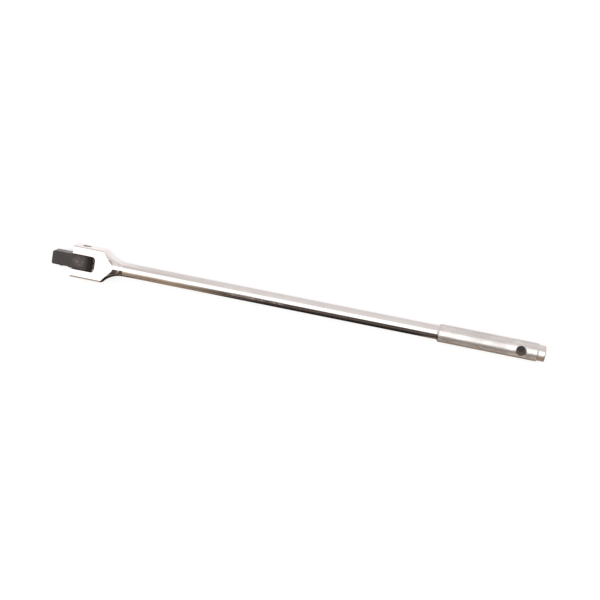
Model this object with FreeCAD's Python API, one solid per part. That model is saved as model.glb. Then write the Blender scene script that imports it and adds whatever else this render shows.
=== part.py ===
"""Breaker bar (hinge handle) with a 12.7 mm square drive, 457 mm long.

The bar lies along X with its drive square at -X and its grip at +X. The hinge pin lies along Y, and the flats
of the fork face up and down. The origin is under the middle of the bar, on the surface that it lies on.

Every shape is made in bench axes, whose origin is the centre of the hinge pin, and is moved to the part's own
frame when it is written.
"""

import FreeCAD, Part
import math
import os

from FreeCAD import Vector

# Drive tang, mm
SQUARE = 12.7
SQUARE_TIP_X = -30.5
SQUARE_BACK_X = -13.6
SQUARE_EDGE_R = 0.9
SQUARE_TIP_R = 2.8
SHANK_HALF_HEIGHT = 7.0
SHANK_EDGE = 0.7
HUB_R = 8.0
HUB_WIDTH = 13.6
HUB_EDGE = 0.5

# Hinge pin, mm
PIN_R = 4.0
PIN_RECESS = 0.5
PIN_EDGE = 0.4
PIN_RUNNING_CLEARANCE = 0.05

# Fork, mm
FORK_TIP_X = -10.6
FORK_WIDTH = 30.0
FORK_THICKNESS = 16.3
FORK_EDGE_R = 2.1
SLOT_WIDTH = 14.3
SLOT_BASE_X = 11.3
SLOT_CORNER_R = 3.2
FORK_END_EDGE_R = 0.4
PIN_HOLE_EDGE_R = 0.3

# Neck, shaft and grip, mm
SHAFT_R = 6.35
NECK_ARC_R = 23.4
NECK_END_X = 37.5
HEAD_BLANK_R = 18.0
GRIP_START_X = 329.5
GRIP_END_X = 420.1
GRIP_CORE_R = 7.75
BAND_R = 7.15
BAND_EDGE_R = 0.7
HANDLE_END_X = 426.7
END_DOME = 0.4
CROSS_HOLE_X = 405.0
CROSS_HOLE_R = 4.35

# Ball in the drive square, mm
SOCKET_BALL_R = 2.9
SOCKET_BALL_X = -22.0
SOCKET_BALL_PROUD = 1.9
SOCKET_BORE_R = 2.95
SOCKET_BORE_END_Y = 2.8
SOCKET_LIP_DEPTH = 0.8
SOCKET_LIP_R = 2.79

# Round-nosed plunger in the bottom of the slot, mm
PLUNGER_R = 2.0
PLUNGER_GAP = 0.05
PLUNGER_LENGTH = 6.2
PLUNGER_BORE_R = 2.06
PLUNGER_BORE_END_X = 21.5

# Springs, mm
SPRING_WIRE_R = 0.3
SPRING_GAP = 0.05
PLUNGER_SPRING_R = 1.5
PLUNGER_SPRING_TURNS = 6
SOCKET_SPRING_R = 1.8
SOCKET_SPRING_TURNS = 5

# The frame: middle of the length, and the lower flat of the fork
MIDDLE_X = (SQUARE_TIP_X + HANDLE_END_X) / 2
FLOOR_Z = -FORK_THICKNESS / 2

# How closely an edge must match the place that it is looked for in, and how far a cutting or joining shape runs
# past what it meets, mm
NEAR = 1e-4
OVERRUN = 1.0

X_AXIS = Vector(1, 0, 0)
Y_AXIS = Vector(0, 1, 0)
Z_AXIS = Vector(0, 0, 1)

SOCKET_BALL_Y = -(SQUARE / 2 + SOCKET_BALL_PROUD - SOCKET_BALL_R)
PLUNGER_NOSE_X = HUB_R + PLUNGER_GAP


def centred_box(x_from, x_to, width, height):
    """A block from x_from to x_to, centred on the bar's axis."""
    corner = Vector(x_from, -width / 2, -height / 2)
    return Part.makeBox(x_to - x_from, width, height, corner)


def edges_along(shape, axis):
    """The straight edges of a shape that run along an axis."""
    found = []
    for edge in shape.Edges:
        if len(edge.Vertexes) < 2:
            continue
        along = edge.Vertexes[1].Point - edge.Vertexes[0].Point
        if abs(abs(along.dot(axis)) - along.Length) < NEAR:
            found.append(edge)
    return found


def edges_at_x(shape, x):
    """The edges of a shape that lie in the plane at x."""
    return [e for e in shape.Edges if abs(e.BoundBox.XMin - x) < NEAR and abs(e.BoundBox.XMax - x) < NEAR]


def edges_within(shape, x_from, x_to, half_width, half_height):
    """The edges of a shape that lie inside a box centred on the bar's axis."""
    room = centred_box(x_from - NEAR, x_to + NEAR, 2 * (half_width + NEAR), 2 * (half_height + NEAR)).BoundBox
    return [e for e in shape.Edges if room.isInside(e.BoundBox)]


def cylinder_along(axis, radius, start, end):
    """A cylinder whose axis passes through the origin, from start to end along it."""
    return Part.makeCylinder(radius, end - start, axis * start, axis)


def turned_blank():
    """The outline of the whole handle as if it were turned on a lathe, revolved about X."""
    arc_centre = Vector(NECK_END_X, SHAFT_R + NECK_ARC_R, 0)

    def on_neck(radius):
        height = arc_centre.y - radius
        return Vector(arc_centre.x - math.sqrt(NECK_ARC_R**2 - height**2), radius, 0)

    shoulder = on_neck(HEAD_BLANK_R)
    mid_neck = on_neck((SHAFT_R + HEAD_BLANK_R) / 2)
    neck_end = Vector(NECK_END_X, SHAFT_R, 0)
    grip_step = GRIP_CORE_R - SHAFT_R
    band_step = GRIP_CORE_R - BAND_R
    band_edge_x = HANDLE_END_X - END_DOME - BAND_EDGE_R
    face_r = BAND_R - BAND_EDGE_R
    edge_middle = Vector(
        band_edge_x + BAND_EDGE_R * math.sin(math.radians(45)),
        face_r + BAND_EDGE_R * math.cos(math.radians(45)),
        0,
    )
    face_edge = Vector(HANDLE_END_X - END_DOME, face_r, 0)
    dome_r = (face_r**2 + END_DOME**2) / (2 * END_DOME)
    dome_middle_x = HANDLE_END_X - dome_r + math.sqrt(dome_r**2 - (face_r / 2) ** 2)
    outline = [
        Vector(FORK_TIP_X - OVERRUN, 0, 0),
        Vector(FORK_TIP_X - OVERRUN, HEAD_BLANK_R, 0),
        shoulder,
    ]
    edges = [Part.LineSegment(a, b).toShape() for a, b in zip(outline, outline[1:])]
    edges.append(Part.Arc(shoulder, mid_neck, neck_end).toShape())
    stations = [
        neck_end,
        Vector(GRIP_START_X, SHAFT_R, 0),
        Vector(GRIP_START_X + grip_step, GRIP_CORE_R, 0),
        Vector(GRIP_END_X - band_step, GRIP_CORE_R, 0),
        Vector(GRIP_END_X, BAND_R, 0),
        Vector(band_edge_x, BAND_R, 0),
    ]
    edges += [Part.LineSegment(a, b).toShape() for a, b in zip(stations, stations[1:])]
    edges.append(Part.Arc(stations[-1], edge_middle, face_edge).toShape())
    end_centre = Vector(HANDLE_END_X, 0, 0)
    edges.append(Part.Arc(face_edge, Vector(dome_middle_x, face_r / 2, 0), end_centre).toShape())
    edges.append(Part.LineSegment(end_centre, outline[0]).toShape())
    return Part.Face(Part.Wire(edges)).revolve(Vector(0, 0, 0), X_AXIS, 360)


def fork_slot():
    """The space between the two ears, rounded where it meets the web."""
    slot = centred_box(FORK_TIP_X - OVERRUN, SLOT_BASE_X, SLOT_WIDTH, FORK_THICKNESS + 2 * OVERRUN)
    corners = [e for e in edges_along(slot, Z_AXIS) if abs(e.BoundBox.XMin - SLOT_BASE_X) < NEAR]
    return slot.makeFillet(SLOT_CORNER_R, corners)


def soften_fork(body):
    """Rounds the ends of the ears and the mouth of the slot. The crease at the neck stays crisp."""
    half_slot = SLOT_WIDTH / 2
    half_thickness = FORK_THICKNESS / 2
    in_slot = edges_within(body, FORK_TIP_X, SLOT_BASE_X, half_slot, half_thickness)
    mouth = [e for e in in_slot if e.BoundBox.ZLength < NEAR and abs(e.BoundBox.Center.z) > PIN_R]
    ends = [e for e in edges_at_x(body, FORK_TIP_X) if not any(e.isSame(m) for m in mouth)]
    return body.makeFillet(FORK_END_EDGE_R, mouth + ends)


def soften_pin_holes(body):
    """Rounds the outer edges of the two pin holes."""
    mouths = edges_within(body, -PIN_R, PIN_R, FORK_WIDTH / 2, PIN_R)
    mouths = [e for e in mouths if abs(abs(e.BoundBox.Center.y) - FORK_WIDTH / 2) < NEAR]
    return body.makeFillet(PIN_HOLE_EDGE_R, mouths)


def handle():
    """One forging: fork, neck, shaft, grip and end band."""
    block = centred_box(FORK_TIP_X, NECK_END_X + OVERRUN, FORK_WIDTH, FORK_THICKNESS)
    block = block.makeFillet(FORK_EDGE_R, edges_along(block, X_AXIS))
    sleeve = cylinder_along(X_AXIS, GRIP_CORE_R + OVERRUN, NECK_END_X, HANDLE_END_X + OVERRUN)
    body = turned_blank().common(block.fuse(sleeve))
    body = soften_fork(body.cut(fork_slot()))
    body = soften_pin_holes(body.cut(cylinder_along(Y_AXIS, PIN_R, -FORK_WIDTH, FORK_WIDTH)))
    body = body.cut(cylinder_along(X_AXIS, PLUNGER_BORE_R, 0, PLUNGER_BORE_END_X))
    cross_hole = Part.makeCylinder(CROSS_HOLE_R, FORK_WIDTH, Vector(CROSS_HOLE_X, 0, -FORK_WIDTH / 2), Z_AXIS)
    return body.cut(cross_hole).removeSplitter()


def drive_square():
    """The square, with small edge radii and a rounded tip."""
    bar = centred_box(SQUARE_TIP_X, SQUARE_BACK_X + OVERRUN, SQUARE, SQUARE)
    rounded_bar = bar.makeFillet(SQUARE_EDGE_R, edges_along(bar, X_AXIS))
    rounded_tip = bar.makeFillet(SQUARE_TIP_R, edges_at_x(bar, SQUARE_TIP_X))
    return rounded_bar.common(rounded_tip)


def socket_ball_bore():
    """Blind hole for the ball and spring, closed in at its mouth so that the ball can't fall out."""
    mouth_y = -SQUARE / 2
    lip_inner_y = mouth_y + SOCKET_LIP_DEPTH
    bore = Part.makeCylinder(
        SOCKET_BORE_R, SOCKET_BORE_END_Y - lip_inner_y, Vector(SOCKET_BALL_X, lip_inner_y, 0), Y_AXIS
    )
    lip = Part.makeCone(
        SOCKET_LIP_R, SOCKET_BORE_R, SOCKET_LIP_DEPTH, Vector(SOCKET_BALL_X, mouth_y, 0), Y_AXIS
    )
    return bore.fuse(lip)


def drive_tang():
    """Hub, shank and drive square in one piece."""
    hub = cylinder_along(Y_AXIS, HUB_R, -HUB_WIDTH / 2, HUB_WIDTH / 2)
    hub = hub.makeChamfer(HUB_EDGE, [e for e in hub.Edges if e.Closed and e.Length > HUB_R])
    shank = centred_box(SQUARE_BACK_X, 0, HUB_WIDTH, 2 * SHANK_HALF_HEIGHT)
    shank = shank.makeFillet(SHANK_EDGE, edges_along(shank, X_AXIS) + edges_at_x(shank, SQUARE_BACK_X))
    tang = hub.fuse([shank, drive_square()])
    tang = tang.cut(cylinder_along(Y_AXIS, PIN_R + PIN_RUNNING_CLEARANCE, -FORK_WIDTH, FORK_WIDTH))
    return tang.cut(socket_ball_bore()).removeSplitter()


def hinge_pin():
    """Plain pin, pressed into both ears, a little below their outer faces."""
    half_length = FORK_WIDTH / 2 - PIN_RECESS
    pin = cylinder_along(Y_AXIS, PIN_R, -half_length, half_length)
    return pin.makeChamfer(PIN_EDGE, [e for e in pin.Edges if e.Closed])


def coil_spring(coil_r, turns, base, end):
    """Helical wire whose first and last coils stay clear of what it presses on."""
    axis = (end - base).normalize()
    length = (end - base).Length - 2 * (SPRING_WIRE_R + SPRING_GAP)
    helix = Part.makeHelix(length / turns, length, coil_r)
    ring = Part.Circle(Vector(coil_r, 0, 0), Y_AXIS, SPRING_WIRE_R).toShape()
    coil = Part.Wire(helix.Edges).makePipeShell([Part.Wire(ring)], True, True)
    start = base + axis * (SPRING_WIRE_R + SPRING_GAP)
    coil.Placement = FreeCAD.Placement(start, FreeCAD.Rotation(Z_AXIS, axis))
    return coil


def friction_plunger():
    """Round-nosed pin that rubs on the hub's rim."""
    nose_centre_x = PLUNGER_NOSE_X + PLUNGER_R
    nose = Part.makeSphere(PLUNGER_R, Vector(nose_centre_x, 0, 0))
    stem = cylinder_along(X_AXIS, PLUNGER_R, nose_centre_x, PLUNGER_NOSE_X + PLUNGER_LENGTH)
    return nose.fuse(stem).removeSplitter()


def friction_spring():
    base = Vector(PLUNGER_NOSE_X + PLUNGER_LENGTH, 0, 0)
    return coil_spring(PLUNGER_SPRING_R, PLUNGER_SPRING_TURNS, base, Vector(PLUNGER_BORE_END_X, 0, 0))


def socket_ball():
    return Part.makeSphere(SOCKET_BALL_R, Vector(SOCKET_BALL_X, SOCKET_BALL_Y, 0))


def socket_ball_spring():
    """It starts where its first coil rests on the ball's inner side."""
    rest_on_ball = math.sqrt((SOCKET_BALL_R + SPRING_WIRE_R) ** 2 - SOCKET_SPRING_R**2) - SPRING_WIRE_R
    base = Vector(SOCKET_BALL_X, SOCKET_BALL_Y + rest_on_ball, 0)
    return coil_spring(SOCKET_SPRING_R, SOCKET_SPRING_TURNS, base, Vector(SOCKET_BALL_X, SOCKET_BORE_END_Y, 0))


def write(node, shape):
    """Moves a shape from bench axes to the part's frame and writes it."""
    placed = shape.copy()
    placed.translate(Vector(-MIDDLE_X, 0, -FLOOR_Z))
    placed.exportStep(os.path.join("parts", node + ".step"))
    print(node, "valid", placed.isValid(), "solids", len(placed.Solids), "volume", round(placed.Volume, 1))


def main():
    os.makedirs("parts", exist_ok=True)
    write("handle", handle())
    write("drive_tang", drive_tang())
    write("hinge_pin", hinge_pin())
    write("friction_plunger", friction_plunger())
    write("friction_spring", friction_spring())
    write("socket_ball", socket_ball())
    write("socket_ball_spring", socket_ball_spring())


main()
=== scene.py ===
"""Breaker bar with a hinged 12.7 mm square drive, lying on a white table.

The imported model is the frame. Chrome, black oxide and bare steel are made here, with the knurl on the grip.
Lengths are in metres, and places are worked out from the model's own boxes.
"""

import math

import bmesh
import bpy
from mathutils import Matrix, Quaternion, Vector


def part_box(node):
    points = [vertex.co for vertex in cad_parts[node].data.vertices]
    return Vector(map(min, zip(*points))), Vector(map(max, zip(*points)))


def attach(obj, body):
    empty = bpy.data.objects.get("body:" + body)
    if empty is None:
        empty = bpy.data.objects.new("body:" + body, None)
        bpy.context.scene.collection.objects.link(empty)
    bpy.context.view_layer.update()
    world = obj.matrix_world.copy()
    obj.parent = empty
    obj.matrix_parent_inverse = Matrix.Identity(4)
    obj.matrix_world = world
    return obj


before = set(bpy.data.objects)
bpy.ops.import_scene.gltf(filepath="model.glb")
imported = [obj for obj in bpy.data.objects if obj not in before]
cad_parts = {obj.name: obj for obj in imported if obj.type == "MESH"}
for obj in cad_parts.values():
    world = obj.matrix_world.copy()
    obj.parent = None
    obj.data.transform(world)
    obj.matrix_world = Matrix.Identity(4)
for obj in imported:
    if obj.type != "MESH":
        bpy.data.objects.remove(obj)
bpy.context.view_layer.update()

MM = 0.001

# The bar's axis and the places along it
PIN_LOW, PIN_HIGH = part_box("hinge_pin")
PIN_CENTRE = (PIN_LOW + PIN_HIGH) / 2
AXIS_Z = PIN_CENTRE.z
BAR_END_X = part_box("handle")[1].x

# Knurl: flat-topped diamonds. CORNER_GAP closes their shared corners, NEAR finds the points on a cut, and
# CREST_COSINE tells a diamond's top from its sides
KNURL_CREST_R = 8.13 * MM
KNURL_ROOT_R = 7.93 * MM
KNURL_INNER_R = 6.80 * MM
KNURL_STARTS = 32
KNURL_ANGLE = math.radians(40)
KNURL_FLAT = 0.86 * MM
CORNER_GAP = 0.06 * MM
NEAR = 0.001 * MM
KNURL_END_X = BAR_END_X - 7.2 * MM
KNURL_START_X = BAR_END_X - 95.8 * MM
KNURL_CHAMFER = 0.8 * MM
CREST_COSINE = 0.99
CROSS_HOLE_X = BAR_END_X - 21.7 * MM
CROSS_HOLE_R = 4.40 * MM
CROSS_HOLE_CHAMFER = 0.35 * MM
CROSS_HOLE_SIDES = 64

# Marks on every finish: how much of each finer pattern is mixed in
SMUDGE_FINE = 0.35
LINES_ALONG = 0.7
LINES_ROUND = 0.3
WAVES_MM = 0.02
GRAIN_PITS = 0.6

# Chrome plate: clean; on the knurl, a brighter copy that paints on a sheen; handled and worn
CHROME = (0.80, 0.78, 0.77)
KNURL_PLATE_BRIGHTENED = (0.93, 0.915, 0.91)
CHROME_HANDLED = (0.76, 0.735, 0.715)
CHROME_WORN = (0.70, 0.68, 0.66)
CHROME_LINES_MM = 0.0012
CHROME_EDGES = {"Radius_mm": 0.5, "Amount": 0.6}
BRIGHT_ROUGHNESS = 0.05
KNURL_ROUGHNESS = 0.18

# How much each kind of mark roughens the chrome
PATCH_ROUGHENS = 0.07
LINES_ROUGHEN = 0.05
SPECKS_ROUGHEN = 0.1
BORE_ROUGHENS = 0.4
ETCH_ROUGHENS = 0.12

# Painted shade in the knurl's grooves, and the dark wall of the cross hole, bare scale with painted shade,
# which fades out just past its radius
GROOVE_SHADE = (0.62, 0.58, 0.55)
GROOVE_STARTS = 0.10 * MM
GROOVE_SHADE_MOST = 0.9
GROOVE_SHADE_LEAST = 0.45
BORE_SCALE_AND_SHADE = (0.13, 0.095, 0.075)
BORE_FROM = 0.12 * MM
BORE_TO = 0.03 * MM

# Etched strokes on the shaft, as (middle, half length) along the bar
ETCH_COLOUR = (0.60, 0.53, 0.49)
ETCH_RUNS = [(-42 * MM, 17 * MM), (-15 * MM, 6.5 * MM)]
ETCH_Y = -0.9 * MM
ETCH_HALF_HEIGHT = 1.1 * MM
ETCH_DEPTH = 0.12 * MM
ETCH_SOFT = 0.12 * MM
ETCH_STROKES = (1050, 520, 0)
ETCH_CUT = (0.50, 0.54)

# Black oxide, and the lighter patch on the hub's crown: rubbed oxide, and a painted highlight
RUBBED_OXIDE_AND_HIGHLIGHT = (0.22, 0.17, 0.165)
HUB_RUB_AND_HIGHLIGHT_AT = PIN_CENTRE + Vector((-4.5, 0.5, 8)) * MM
HUB_RUB_AND_HIGHLIGHT_SCALE = (150, 190, 150)
HUB_RUB_AND_HIGHLIGHT_FADE = (1.0, 0.3)
HUB_RUB_AND_HIGHLIGHT_LEAST = 0.25
BARE_STEEL = (0.30, 0.285, 0.28)
BARE_METAL = 0.8
OXIDE_GRAIN_MM = 0.006
OXIDE_EDGE_MM = 0.7
CLOUD_ROUGHENS = 0.1
PATCH_SMOOTHS = -0.08
STEEL_LINES_MM = 0.001
STEEL_LINES_ROUGHEN = 0.08

NODE_FINISH = {
    "handle": "chrome_plate",
    "hinge_pin": "dark_pin",
    "drive_tang": "black_oxide",
    "socket_ball": "ball_steel",
    "friction_plunger": "ball_steel",
    "socket_ball_spring": "spring_steel",
    "friction_spring": "spring_steel",
}

# Camera
LOOK_AT = Vector((4.6 * MM, 4.4 * MM, AXIS_Z))
CAMERA_DISTANCE = 1265 * MM
CAMERA_AZIMUTH = math.radians(57.60)
CAMERA_ELEVATION = math.radians(76.72)
CAMERA_ROLL = math.radians(-136.99)
CAMERA_LENS = 84
CAMERA_SENSOR = 36
CAMERA_CLIP = 10 * MM

# Studio: colours times STUDIO_STRENGTH. CARD_STOPS and WALL_STOPS go by the angle in degrees from straight up
# towards -Y, and END_STOPS multiplies both, from the -X end to the +X end
OVERHEAD_LIGHT = 2.0
OVERHEAD_SHARE = 0.70
STUDIO_STRENGTH = OVERHEAD_LIGHT / OVERHEAD_SHARE
WHITE = (0.80, 0.80, 0.80)
PINK_WHITE = (0.45, 0.425, 0.42)
WARM_WHITE = (0.39, 0.36, 0.355)
CARD = (0.033, 0.029, 0.027)
BACKDROP = (0.5, 0.5, 0.5)
CARD_STOPS = [
    (-180, PINK_WHITE),
    (-44, PINK_WHITE),
    (-30, WHITE),
    (15, WHITE),
    (21, (0.12, 0.11, 0.105)),
    (25, CARD),
    (42, CARD),
    (54, (0.085, 0.060, 0.054)),
    (64, (0.045, 0.035, 0.032)),
    (74, (0.016, 0.013, 0.012)),
    (92, (0.014, 0.010, 0.009)),
]
WALL_STOPS = [
    (-180, WARM_WHITE),
    (-44, WARM_WHITE),
    (-26, WHITE),
    (15, WHITE),
    (28, (0.42, 0.37, 0.33)),
    (46, (0.247, 0.187, 0.143)),
    (65, (0.180, 0.125, 0.085)),
    (92, (0.180, 0.135, 0.100)),
]
END_STOPS = [
    (0.0, (0.55, 0.54, 0.54)),
    (0.12, (OVERHEAD_SHARE,) * 3),
    (0.72, (OVERHEAD_SHARE,) * 3),
    (0.86, (0.15, 0.14, 0.135)),
    (1.0, (0.06, 0.057, 0.055)),
]

# The dark card's two ends, and the end of the warm wall on its right, by how far a direction leans to +X
CARD_LEFT = -0.178
CARD_RIGHT = 0.0
WALL_END = 0.09
CARD_BLUR = 0.027

# Table: white to the eye; in the bar's reflections it shows a painted reflection, a bright half and a half
# painted dark as if the card shaded it, in places along X
FLOOR_SIZE = 6
BLACK = (0.0, 0.0, 0.0)
GLOWING = (1.0, 1.0, 1.0)
FLOOR_WHITE = (0.30, 0.30, 0.30)
FLOOR_GLOW = 0.80
# How far and how strongly ambient occlusion dims the glow: the painted contact shadow
SHADOW_REACH = 20 * MM
SHADOW_RANGE = (0.04, 0.44)
FORK_HALF = (1.12, 1.05, 1.05)
BRIGHT_HALF = (0.86, 0.81, 0.80)
PAST_FORK = (-0.170, -0.150)
PALE = (0.75, 0.70, 0.68)
DARK = (0.025, 0.018, 0.016)
DIM_HALF = [
    (-0.300, PALE),
    (-0.188, PALE),
    (-0.182, DARK),
    (-0.160, DARK),
    (-0.155, (0.36, 0.27, 0.205)),
    (-0.095, (0.33, 0.25, 0.185)),
    (-0.065, (0.020, 0.015, 0.014)),
    (0.110, (0.018, 0.015, 0.014)),
    (0.140, (0.34, 0.265, 0.205)),
    (0.300, (0.36, 0.28, 0.215)),
]
HALF_BLUR = 8 * MM
DIM_REACH = 0.3

# A painted shadow: the dark spot on the table under the cross hole
UNDER_HOLE = (CROSS_HOLE_X, -1.8 * MM, 0)
UNDER_HOLE_R = 3.2 * MM
UNDER_BLUR = 1.3 * MM

# The Mix node's colour sockets, by number, because their names repeat
MIX_COLOURS = (6, 7)
MIX_RESULT = 2


def only(piece):
    """Makes one piece the only one selected, and active."""
    bpy.ops.object.select_all(action="DESELECT")
    piece.select_set(True)
    bpy.context.view_layer.objects.active = piece


def new_piece(name):
    """Names the primitive that was just added."""
    piece = bpy.context.active_object
    piece.name = name
    piece.data.name = name
    return piece


def settle(piece):
    """Moves a piece's place into its mesh."""
    only(piece)
    bpy.ops.object.transform_apply(location=True, rotation=True, scale=True)


def apply_modifier(piece, kind, **values):
    """Adds a modifier, sets it and applies it."""
    only(piece)
    modifier = piece.modifiers.new(kind.title(), kind)
    for name, value in values.items():
        setattr(modifier, name, value)
    bpy.ops.object.modifier_apply(modifier=modifier.name)


def carve(piece, tool, operation):
    """Boolean with a tool, which is then thrown away."""
    apply_modifier(piece, "BOOLEAN", operation=operation, solver="MANIFOLD", object=tool)
    bpy.data.objects.remove(tool)


def knurl_diamond():
    """One diamond of the knurl: a flat-topped pyramid that stands on the root cylinder."""
    width = 2 * math.pi * KNURL_ROOT_R / KNURL_STARTS
    length = width / math.tan(KNURL_ANGLE)
    bpy.ops.object.select_all(action="DESELECT")
    bpy.ops.mesh.primitive_circle_add(vertices=4, radius=0.5, fill_type="NGON")
    diamond = new_piece("grip_knurl")
    bpy.ops.object.mode_set(mode="EDIT")
    bpy.ops.mesh.select_all(action="SELECT")
    bpy.ops.transform.resize(value=(length, width, 1))
    bpy.ops.mesh.inset(thickness=width / 2 * math.cos(KNURL_ANGLE) - KNURL_FLAT / 2)
    bpy.ops.transform.translate(value=(0, 0, KNURL_CREST_R - KNURL_ROOT_R))
    bpy.ops.mesh.select_all(action="SELECT")
    bpy.ops.transform.translate(value=(0, 0, KNURL_ROOT_R))
    bpy.ops.object.mode_set(mode="OBJECT")
    return diamond, length


def knurl_tube():
    """Diamonds all round the axis and along it, as an open tube about X that starts at x = 0."""
    piece, length = knurl_diamond()
    rows = math.ceil((KNURL_END_X - KNURL_START_X) / length) + 2
    step = 2 * math.pi / KNURL_STARTS
    only(piece)
    bpy.ops.object.mode_set(mode="EDIT")
    bpy.ops.mesh.select_all(action="SELECT")
    bpy.ops.mesh.spin(
        steps=KNURL_STARTS - 1, dupli=True, angle=2 * math.pi - step, center=(0, 0, 0), axis=(1, 0, 0)
    )
    bpy.ops.mesh.select_all(action="SELECT")
    bpy.ops.mesh.duplicate()
    bpy.ops.transform.translate(value=(length / 2, 0, 0))
    bpy.ops.transform.rotate(value=step / 2, orient_axis="X", center_override=(0, 0, 0))
    bpy.ops.object.mode_set(mode="OBJECT")
    apply_modifier(
        piece,
        "ARRAY",
        count=rows,
        use_relative_offset=False,
        use_constant_offset=True,
        constant_offset_displace=(length, 0, 0),
    )
    only(piece)
    bpy.ops.object.mode_set(mode="EDIT")
    bpy.ops.mesh.select_all(action="SELECT")
    bpy.ops.mesh.remove_doubles(threshold=CORNER_GAP)
    bpy.ops.transform.translate(value=(-length / 2, 0, 0))
    bpy.ops.object.mode_set(mode="OBJECT")
    return piece


def select_where(piece, test):
    """In edit mode, selects the vertices that pass a test on their place, and what lies between them."""
    mesh = bmesh.from_edit_mesh(piece.data)
    for vert in mesh.verts:
        vert.select_set(test(vert.co))
    mesh.select_flush(True)
    mesh.select_flush(False)
    bmesh.update_edit_mesh(piece.data)


def trim_knurl(piece, grip_length):
    """Cuts both ends square, slopes them down to the root, and closes the tube with an inner wall."""
    only(piece)
    bpy.ops.object.mode_set(mode="EDIT")
    bpy.ops.mesh.select_mode(type="VERT")
    slope = KNURL_ROOT_R / KNURL_CREST_R
    sink = KNURL_INNER_R / KNURL_ROOT_R
    for place, direction in ((0, -1), (grip_length, 1)):
        inward = place - direction * KNURL_CHAMFER
        bpy.ops.mesh.select_all(action="SELECT")
        bpy.ops.mesh.bisect(plane_co=(place, 0, 0), plane_no=(direction, 0, 0), clear_outer=True)
        bpy.ops.mesh.select_all(action="SELECT")
        bpy.ops.mesh.bisect(plane_co=(inward, 0, 0), plane_no=(1, 0, 0))
        select_where(piece, lambda co: abs(co.x - place) < NEAR)
        bpy.ops.transform.resize(value=(1, slope, slope), center_override=(0, 0, 0))
        bpy.ops.mesh.extrude_edges_move()
        bpy.ops.transform.resize(value=(1, sink, sink), center_override=(0, 0, 0))
        bpy.ops.mesh.extrude_edges_move()
        bpy.ops.transform.translate(value=(-direction * KNURL_CHAMFER, 0, 0))
    bpy.ops.mesh.select_all(action="DESELECT")
    bpy.ops.mesh.select_mode(type="EDGE")
    bpy.ops.mesh.select_non_manifold()
    bpy.ops.mesh.bridge_edge_loops()
    bpy.ops.mesh.select_all(action="SELECT")
    bpy.ops.mesh.normals_make_consistent(inside=False)
    bpy.ops.mesh.select_mode(type="VERT")
    bpy.ops.object.mode_set(mode="OBJECT")


def hole_cutter():
    """A drill for the cross hole, wider where it breaks out of the grip."""
    middle = (CROSS_HOLE_X, 0, AXIS_Z)
    depth = 2 * (KNURL_CREST_R + CROSS_HOLE_CHAMFER)
    bpy.ops.object.select_all(action="DESELECT")
    bpy.ops.mesh.primitive_cylinder_add(
        vertices=CROSS_HOLE_SIDES, radius=CROSS_HOLE_R, depth=depth, location=middle
    )
    drill = new_piece("drill")
    settle(drill)
    bpy.ops.object.mode_set(mode="EDIT")
    for side in (-1, 1):
        height = AXIS_Z + side * (KNURL_CREST_R - 2 * CROSS_HOLE_CHAMFER)
        bpy.ops.mesh.select_all(action="SELECT")
        bpy.ops.mesh.bisect(plane_co=(0, 0, height), plane_no=(0, 0, 1))
    select_where(drill, lambda co: abs(co.z - AXIS_Z) > KNURL_CREST_R - CROSS_HOLE_CHAMFER)
    widen = 1 + 2 * CROSS_HOLE_CHAMFER / CROSS_HOLE_R
    bpy.ops.transform.resize(value=(widen, widen, 1), center_override=middle)
    bpy.ops.object.mode_set(mode="OBJECT")
    return drill


def crown_crests(piece):
    """Gives the diamonds' tops the round bar's normals, so that they shine as one turned surface."""
    normals = []
    for face in piece.data.polygons:
        out = Vector((0, face.center.y, face.center.z - AXIS_Z))
        is_crest = face.normal.dot(out.normalized()) > CREST_COSINE and out.length > KNURL_ROOT_R
        for index in face.vertices:
            place = piece.data.vertices[index].co
            round_bar = Vector((0, place.y, place.z - AXIS_Z)).normalized()
            normals.append(round_bar if is_crest else face.normal.copy())
    piece.data.normals_split_custom_set(normals)


def make_knurl():
    """The knurled skin of the grip, with sloped ends and the cross hole."""
    skin = knurl_tube()
    trim_knurl(skin, KNURL_END_X - KNURL_START_X)
    skin.location = (KNURL_START_X, 0, AXIS_Z)
    settle(skin)
    carve(skin, hole_cutter(), "DIFFERENCE")
    only(skin)
    bpy.ops.object.shade_smooth()
    crown_crests(skin)
    return skin


def new_group(name, takes, gives):
    """An empty node group: takes is a list of (name, value), gives a list of (name, socket kind)."""
    tree = bpy.data.node_groups.new(name, "ShaderNodeTree")
    for label, value in takes:
        socket = tree.interface.new_socket(label, in_out="INPUT", socket_type="NodeSocketFloat")
        socket.default_value = value
    for label, kind in gives:
        tree.interface.new_socket(label, in_out="OUTPUT", socket_type="NodeSocket" + kind)
    return tree, tree.nodes.new("NodeGroupInput"), tree.nodes.new("NodeGroupOutput")


def add_node(tree, kind, inputs=None, **settings):
    """Adds a node; each input is a value, or the socket that feeds it."""
    node = tree.nodes.new("ShaderNode" + kind)
    for name, value in settings.items():
        setattr(node, name, value)
    for name, value in (inputs or {}).items():
        if isinstance(value, bpy.types.NodeSocket):
            tree.links.new(value, node.inputs[name])
        else:
            node.inputs[name].default_value = value
    return node


def ramp(tree, factor, stops):
    """A colour ramp with (place, colour) stops."""
    node = add_node(tree, "ValToRGB", {"Fac": factor})
    elements = node.color_ramp.elements
    while len(elements) < len(stops):
        elements.new(0.5)
    for element, (place, colour) in zip(elements, stops):
        element.position = place
        element.color = (*colour, 1)
    return node.outputs["Color"]


def round_ramp(tree, turn, stops):
    """A colour ramp over a whole turn, with stops in degrees from -180 to 180."""
    return ramp(tree, turn, [(0.5 + degrees / 360, colour) for degrees, colour in stops])


def vector(tree, operation, first, second):
    """One sum on vectors, which gives a vector."""
    return add_node(tree, "VectorMath", {0: first, 1: second}, operation=operation).outputs["Vector"]


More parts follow.
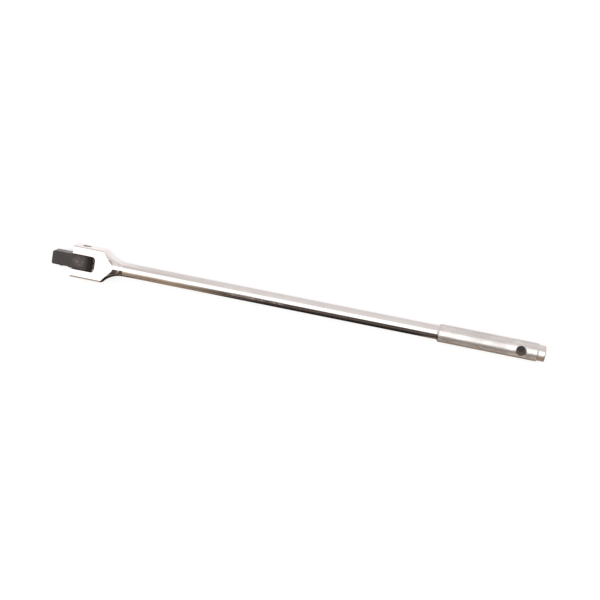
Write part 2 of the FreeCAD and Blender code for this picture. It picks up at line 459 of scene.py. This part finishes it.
def vector_length(tree, place):
    """How far a place is from the middle."""
    return add_node(tree, "VectorMath", {0: place}, operation="LENGTH").outputs["Value"]


def object_place(tree, scale):
    """Object coordinates, centred on the bar's axis and stretched."""
    place = add_node(tree, "TexCoord").outputs["Object"]
    centred = vector(tree, "SUBTRACT", place, (0, 0, AXIS_Z))
    return vector(tree, "MULTIPLY", centred, scale)


def noise(tree, scale, detail, stretch=(1, 1, 1)):
    """Noise with a number of blobs per metre."""
    inputs = {"Vector": object_place(tree, stretch), "Scale": scale, "Detail": detail}
    return add_node(tree, "TexNoise", inputs).outputs["Fac"]


def maths(tree, operation, first, second=0.0, clamp=False):
    """One sum."""
    return add_node(tree, "Math", {0: first, 1: second}, operation=operation, use_clamp=clamp).outputs[0]


def spread(tree, value, low, high, to_low=0.0, to_high=1.0):
    """Stretches a value from one range to another, and stops at its ends."""
    inputs = {"Value": value, "From Min": low, "From Max": high, "To Min": to_low, "To Max": to_high}
    return add_node(tree, "MapRange", inputs).outputs["Result"]


def add_bump(tree, height):
    """A bump from a height in millimetres."""
    inputs = {"Strength": 1.0, "Distance": MM, "Height": height}
    return add_node(tree, "Bump", inputs).outputs["Normal"]


def roughen(tree, start, *marks):
    """Adds to a roughness, for each (mask, amount)."""
    for mask, amount in marks:
        start = maths(tree, "ADD", start, maths(tree, "MULTIPLY", mask, amount))
    return start


def make_smudges():
    """Handling marks: big soft patches broken up by finer ones, and small specks."""
    tree, _, out = new_group("smudges", [], [("Patches", "Float"), ("Specks", "Float")])
    broad = noise(tree, scale=70, detail=3)
    fine = noise(tree, scale=900, detail=4)
    broken = maths(tree, "ADD", broad, maths(tree, "MULTIPLY", fine, SMUDGE_FINE))
    patches = spread(tree, broken, low=0.58, high=0.86)
    specks = spread(tree, noise(tree, scale=2600, detail=2), low=0.68, high=0.76)
    tree.links.new(patches, out.inputs["Patches"])
    tree.links.new(specks, out.inputs["Specks"])
    return tree


def make_polish_lines():
    """Fine lines from polishing, along the bar and round it."""
    gives = [("Lines", "Float"), ("Normal", "Vector")]
    tree, takes, out = new_group("polish_lines", [("Height mm", STEEL_LINES_MM)], gives)
    along = noise(tree, scale=1, detail=3, stretch=(60, 5200, 5200))
    round_bar = noise(tree, scale=1, detail=2, stretch=(3800, 160, 160))
    along = maths(tree, "MULTIPLY", along, LINES_ALONG)
    lines = maths(tree, "ADD", along, maths(tree, "MULTIPLY", round_bar, LINES_ROUND))
    waves = noise(tree, scale=45, detail=1)
    height = maths(tree, "MULTIPLY", lines, takes.outputs["Height mm"])
    height = maths(tree, "ADD", height, maths(tree, "MULTIPLY", waves, WAVES_MM))
    tree.links.new(spread(tree, lines, low=0.35, high=0.68), out.inputs["Lines"])
    tree.links.new(add_bump(tree, height), out.inputs["Normal"])
    return tree


def make_worn_edges():
    """A mask of the edges, worn in patches. It compares the true normal with one rounded over a radius."""
    tree, takes, out = new_group("worn_edges", [("Radius mm", 0.5), ("Amount", 1.0)], [("Mask", "Float")])
    radius = maths(tree, "MULTIPLY", takes.outputs["Radius mm"], MM)
    rounded = add_node(tree, "Bevel", {"Radius": radius}, samples=6).outputs["Normal"]
    true = add_node(tree, "NewGeometry").outputs["Normal"]
    dot = add_node(tree, "VectorMath", {0: rounded, 1: true}, operation="DOT_PRODUCT").outputs["Value"]
    edge = spread(tree, dot, low=0.995, high=0.9)
    rubbed = spread(tree, noise(tree, scale=500, detail=5), low=0.3, high=0.62)
    mask = maths(tree, "MULTIPLY", maths(tree, "MULTIPLY", edge, rubbed), takes.outputs["Amount"], clamp=True)
    tree.links.new(mask, out.inputs["Mask"])
    return tree


def make_grain():
    """The fine etched grain of a chemical finish."""
    gives = [("Cloud", "Float"), ("Normal", "Vector")]
    tree, takes, out = new_group("grain", [("Depth mm", OXIDE_GRAIN_MM)], gives)
    fine = noise(tree, scale=7000, detail=3)
    pits = spread(tree, noise(tree, scale=3200, detail=2), low=0.3, high=0.5)
    height = maths(tree, "ADD", fine, maths(tree, "MULTIPLY", pits, GRAIN_PITS))
    height = maths(tree, "MULTIPLY", height, takes.outputs["Depth mm"])
    cloud = spread(tree, noise(tree, scale=260, detail=5), low=0.35, high=0.68)
    tree.links.new(cloud, out.inputs["Cloud"])
    tree.links.new(add_bump(tree, height), out.inputs["Normal"])
    return tree


def use_group(tree, group, **inputs):
    """Places a group, and gives back its outputs."""
    node = tree.nodes.new("ShaderNodeGroup")
    node.node_tree = group
    for name, value in inputs.items():
        node.inputs[name.replace("_", " ")].default_value = value
    return node.outputs


def blend_colour(tree, factor, first, second):
    """Mixes two colours, each a value or a socket."""
    node = add_node(tree, "Mix", {0: factor}, data_type="RGBA")
    for index, value in zip(MIX_COLOURS, (first, second)):
        if isinstance(value, bpy.types.NodeSocket):
            tree.links.new(value, node.inputs[index])
        else:
            node.inputs[index].default_value = (*value, 1)
    return node.outputs[MIX_RESULT]


def new_material(name):
    """A material with its tree and its Principled shader."""
    material = bpy.data.materials.new(name)
    material.use_nodes = True
    tree = material.node_tree
    return material, tree, tree.nodes["Principled BSDF"]


def feed(tree, shader, **sources):
    """Sets or links the shader's sockets; underscores stand for spaces."""
    for name, value in sources.items():
        socket = shader.inputs[name.replace("_", " ")]
        if isinstance(value, bpy.types.NodeSocket):
            tree.links.new(value, socket)
        else:
            socket.default_value = value


def etched_row(tree):
    """Two runs of short plain strokes, pressed into the shaft beside the fork: 1 inside a stroke."""
    parts = add_node(tree, "SeparateXYZ", {0: object_place(tree, (1, 1, 1))}).outputs
    on_top = spread(tree, parts["Z"], 0, MM)
    from_row = maths(tree, "ABSOLUTE", maths(tree, "SUBTRACT", parts["Y"], ETCH_Y))
    in_row = spread(tree, from_row, ETCH_HALF_HEIGHT, ETCH_HALF_HEIGHT - ETCH_SOFT)
    inside = maths(tree, "MULTIPLY", on_top, in_row)
    runs = 0.0
    for middle, half_length in ETCH_RUNS:
        from_middle = maths(tree, "ABSOLUTE", maths(tree, "SUBTRACT", parts["X"], middle))
        runs = maths(tree, "ADD", spread(tree, from_middle, half_length, half_length - ETCH_SOFT), runs)
    strokes = spread(tree, noise(tree, scale=1, detail=1, stretch=ETCH_STROKES), *ETCH_CUT)
    return maths(tree, "MULTIPLY", maths(tree, "MULTIPLY", inside, runs), strokes)


def make_chrome(name, roughness, plate, knurled=False):
    """Bright chrome plate over polished steel, with handling marks and worn corners."""
    material, tree, shader = new_material(name)
    smudges = use_group(tree, SMUDGES)
    polish = use_group(tree, POLISH_LINES, Height_mm=CHROME_LINES_MM)
    edges = use_group(tree, WORN_EDGES, **CHROME_EDGES)
    colour = blend_colour(tree, smudges["Patches"], plate, CHROME_HANDLED)
    colour = blend_colour(tree, edges["Mask"], colour, CHROME_WORN)
    if knurled:
        # Painted shade in the knurl's grooves, darker towards the root
        colour = blend_colour(tree, groove_depth(tree), colour, GROOVE_SHADE)
    bore = in_cross_hole(tree)
    # The cross hole's wall: bare scale, with painted shade inside the hole
    colour = blend_colour(tree, bore, colour, BORE_SCALE_AND_SHADE)
    etched = etched_row(tree)
    colour = blend_colour(tree, etched, colour, ETCH_COLOUR)
    press = {"Strength": 1.0, "Distance": -ETCH_DEPTH, "Height": etched, "Normal": polish["Normal"]}
    normal = add_node(tree, "Bump", press).outputs["Normal"]
    rough = roughen(
        tree,
        roughness,
        (smudges["Patches"], PATCH_ROUGHENS),
        (polish["Lines"], LINES_ROUGHEN),
        (smudges["Specks"], SPECKS_ROUGHEN),
        (bore, BORE_ROUGHENS),
        (etched, ETCH_ROUGHENS),
    )
    feed(tree, shader, Base_Color=colour, Metallic=1.0, Roughness=rough, Normal=normal)
    return material


def groove_depth(tree):
    """How deep a point lies in the knurl's grooves, the mask of their painted shade: 0 on the crests, 1 at
    the root, in patches.
    """
    radius = vector_length(tree, object_place(tree, (0, 1, 1)))
    depth = spread(tree, radius, KNURL_CREST_R - GROOVE_STARTS, KNURL_ROOT_R, 0, GROOVE_SHADE_MOST)
    patches = spread(tree, noise(tree, scale=160, detail=4), 0.25, 0.6, GROOVE_SHADE_LEAST, 1)
    return maths(tree, "MULTIPLY", depth, patches)


def in_cross_hole(tree):
    """The wall of the cross hole, painted a dark brown: the drill-worked scale that plating barely reaches,
    and painted shade inside the hole.
    """
    place = add_node(tree, "TexCoord").outputs["Object"]
    offset = vector(tree, "SUBTRACT", place, (CROSS_HOLE_X, 0, 0))
    radius = vector_length(tree, vector(tree, "MULTIPLY", offset, (1, 1, 0)))
    return spread(tree, radius, CROSS_HOLE_R + BORE_FROM, CROSS_HOLE_R + BORE_TO)


def hub_rub_and_highlight(tree):
    """Where the fork and fingers have rubbed the hub's crown, lighter, which also stands as a painted
    highlight: soft patches round the hinge pin.
    """
    place = add_node(tree, "TexCoord").outputs["Object"]
    offset = vector(tree, "SUBTRACT", place, tuple(HUB_RUB_AND_HIGHLIGHT_AT))
    reach = vector_length(tree, vector(tree, "MULTIPLY", offset, HUB_RUB_AND_HIGHLIGHT_SCALE))
    patch = spread(tree, reach, *HUB_RUB_AND_HIGHLIGHT_FADE)
    streaks = noise(tree, scale=330, detail=4, stretch=(0.7, 1, 1))
    return maths(tree, "MULTIPLY", patch, spread(tree, streaks, 0.40, 0.62, HUB_RUB_AND_HIGHLIGHT_LEAST, 1))


def make_oxide(name, base, cloudy, roughness, worn):
    """Black oxide on steel: a dark satin film, cloudy and rubbed bright along its edges."""
    material, tree, shader = new_material(name)
    grain = use_group(tree, GRAIN, Depth_mm=OXIDE_GRAIN_MM)
    smudges = use_group(tree, SMUDGES)
    edges = use_group(tree, WORN_EDGES, Radius_mm=OXIDE_EDGE_MM, Amount=worn)
    colour = blend_colour(tree, grain["Cloud"], base, cloudy)
    colour = blend_colour(tree, edges["Mask"], colour, BARE_STEEL)
    # The lighter patch on the hub's crown: rubbed oxide and a painted highlight
    colour = blend_colour(tree, hub_rub_and_highlight(tree), colour, RUBBED_OXIDE_AND_HIGHLIGHT)
    rough = roughen(tree, roughness, (grain["Cloud"], CLOUD_ROUGHENS), (smudges["Patches"], PATCH_SMOOTHS))
    metal = maths(tree, "MULTIPLY", edges["Mask"], BARE_METAL)
    feed(tree, shader, Base_Color=colour, Metallic=metal, Roughness=rough, Normal=grain["Normal"])
    return material


def make_bare_steel(name, base, tint, roughness):
    """Hard bright steel, with fine lines and a little oil."""
    material, tree, shader = new_material(name)
    polish = use_group(tree, POLISH_LINES, Height_mm=STEEL_LINES_MM)
    smudges = use_group(tree, SMUDGES)
    colour = blend_colour(tree, smudges["Patches"], base, tint)
    rough = roughen(tree, roughness, (polish["Lines"], STEEL_LINES_ROUGHEN))
    feed(tree, shader, Base_Color=colour, Metallic=1.0, Roughness=rough, Normal=polish["Normal"])
    return material


def make_floor():
    """A plain white table that glows a little, so that it stays white round the bar; the glow fades with
    ambient occlusion into a painted contact shadow, and is cut out as a painted shadow under the cross hole.
    Rays other than the camera's see a painted reflection on it.
    """
    bpy.ops.object.select_all(action="DESELECT")
    bpy.ops.mesh.primitive_plane_add(size=FLOOR_SIZE)
    floor = new_piece("table_top")
    material, tree, shader = new_material("white_table")
    seen = add_node(tree, "LightPath").outputs["Is Camera Ray"]
    place = add_node(tree, "TexCoord").outputs["Object"]
    parts = add_node(tree, "SeparateXYZ", {0: place}).outputs
    bright = spread(tree, parts["Y"], -HALF_BLUR, HALF_BLUR)
    # The painted reflection: what the bar's chrome sees on the table, laid on for rays other than the
    # camera's
    places = [((x + DIM_REACH) / (2 * DIM_REACH), colour) for x, colour in DIM_HALF]
    dim = ramp(tree, spread(tree, parts["X"], -DIM_REACH, DIM_REACH), places)
    past_fork = spread(tree, parts["X"], *PAST_FORK)
    lit = blend_colour(tree, past_fork, FORK_HALF, BRIGHT_HALF)
    painted_reflection = blend_colour(tree, bright, dim, lit)
    open_sky = add_node(tree, "AmbientOcclusion", {"Distance": SHADOW_REACH}, samples=8).outputs["AO"]
    # Cuts the glow out under the cross hole: a painted shadow
    from_hole = add_node(tree, "VectorMath", {0: place, 1: UNDER_HOLE}, operation="DISTANCE").outputs["Value"]
    beside = spread(tree, from_hole, UNDER_HOLE_R, UNDER_HOLE_R + UNDER_BLUR)
    # The glow fades where ambient occlusion is high: a painted contact shadow round the bar
    glow = maths(tree, "MULTIPLY", spread(tree, open_sky, *SHADOW_RANGE), FLOOR_GLOW)
    glow = maths(tree, "MULTIPLY", glow, beside)
    shown = blend_colour(tree, glow, BLACK, GLOWING)
    emission = blend_colour(tree, seen, painted_reflection, shown)
    base = blend_colour(tree, seen, BLACK, FLOOR_WHITE)
    feed(tree, shader, Base_Color=base, Roughness=1.0, Specular_IOR_Level=0.0)
    feed(tree, shader, Emission_Color=emission, Emission_Strength=1.0)
    floor.data.materials.append(material)


def make_studio():
    """A white studio overhead, with a dark card low on one side and warm walls beyond its two ends."""
    world = bpy.data.worlds.new("studio")
    bpy.context.scene.world = world
    world.use_nodes = True
    tree = world.node_tree
    background = tree.nodes["Background"]
    direction = add_node(tree, "TexCoord").outputs["Generated"]
    parts = add_node(tree, "SeparateXYZ", {0: direction}).outputs
    side = maths(tree, "MULTIPLY", parts["Y"], -1.0)
    angle = maths(tree, "ARCTAN2", side, parts["Z"])
    place = spread(tree, angle, -math.pi, math.pi)
    cold = round_ramp(tree, place, CARD_STOPS)
    warm = round_ramp(tree, place, WALL_STOPS)
    left = spread(tree, parts["X"], CARD_LEFT - CARD_BLUR, CARD_LEFT, 1, 0)
    right = spread(tree, parts["X"], CARD_RIGHT, CARD_RIGHT + CARD_BLUR, 0, 1)
    right = maths(tree, "MULTIPLY", right, spread(tree, parts["X"], WALL_END, WALL_END + CARD_BLUR, 1, 0))
    beyond = maths(tree, "MAXIMUM", left, right)
    colour = blend_colour(tree, beyond, cold, warm)
    fall = ramp(tree, spread(tree, parts["X"], -1, 1), END_STOPS)
    colour = vector(tree, "MULTIPLY", colour, fall)
    seen = add_node(tree, "LightPath").outputs["Is Camera Ray"]
    tree.links.new(blend_colour(tree, seen, colour, BACKDROP), background.inputs["Color"])
    background.inputs["Strength"].default_value = STUDIO_STRENGTH


def make_camera():
    """The camera: turned about the object's middle, then rolled."""
    data = bpy.data.cameras.new("camera")
    data.lens = CAMERA_LENS
    data.sensor_width = CAMERA_SENSOR
    data.clip_start = CAMERA_CLIP
    camera = bpy.data.objects.new("camera", data)
    bpy.context.scene.collection.objects.link(camera)
    flat = math.cos(CAMERA_ELEVATION)
    to_camera = Vector(
        (flat * math.cos(CAMERA_AZIMUTH), flat * math.sin(CAMERA_AZIMUTH), math.sin(CAMERA_ELEVATION))
    )
    camera.location = LOOK_AT + to_camera * CAMERA_DISTANCE
    camera.rotation_mode = "QUATERNION"
    aim = (-to_camera).to_track_quat("-Z", "Y")
    camera.rotation_quaternion = aim @ Quaternion((0, 0, 1), CAMERA_ROLL)
    bpy.context.scene.camera = camera


SMUDGES = make_smudges()
POLISH_LINES = make_polish_lines()
WORN_EDGES = make_worn_edges()
GRAIN = make_grain()

FINISHES = {
    "chrome_plate": make_chrome("bright_chrome", BRIGHT_ROUGHNESS, CHROME),
    "black_oxide": make_oxide(
        "black_oxide_film",
        base=(0.026, 0.018, 0.016),
        cloudy=(0.046, 0.034, 0.031),
        roughness=0.36,
        worn=0.25,
    ),
    "dark_pin": make_oxide(
        "dark_pin_steel",
        base=(0.035, 0.030, 0.029),
        cloudy=(0.07, 0.06, 0.055),
        roughness=0.34,
        worn=0.7,
    ),
    "ball_steel": make_bare_steel(
        "bearing_steel", base=(0.62, 0.58, 0.53), tint=(0.56, 0.51, 0.46), roughness=0.10
    ),
    "spring_steel": make_bare_steel(
        "spring_wire", base=(0.36, 0.35, 0.34), tint=(0.28, 0.26, 0.24), roughness=0.25
    ),
}
# The knurl's chrome: the brighter plate, a painted sheen, with painted shade in its grooves
KNURL_CHROME = make_chrome("knurled_chrome", KNURL_ROUGHNESS, KNURL_PLATE_BRIGHTENED, knurled=True)

for node_name, finish in NODE_FINISH.items():
    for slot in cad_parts[node_name].material_slots:
        slot.material = FINISHES[finish]

skin = make_knurl()
skin.data.materials.clear()
skin.data.materials.append(KNURL_CHROME)
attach(skin, "handle")

make_floor()
make_studio()
make_camera()
bpy.context.scene.view_settings.view_transform = "Standard"
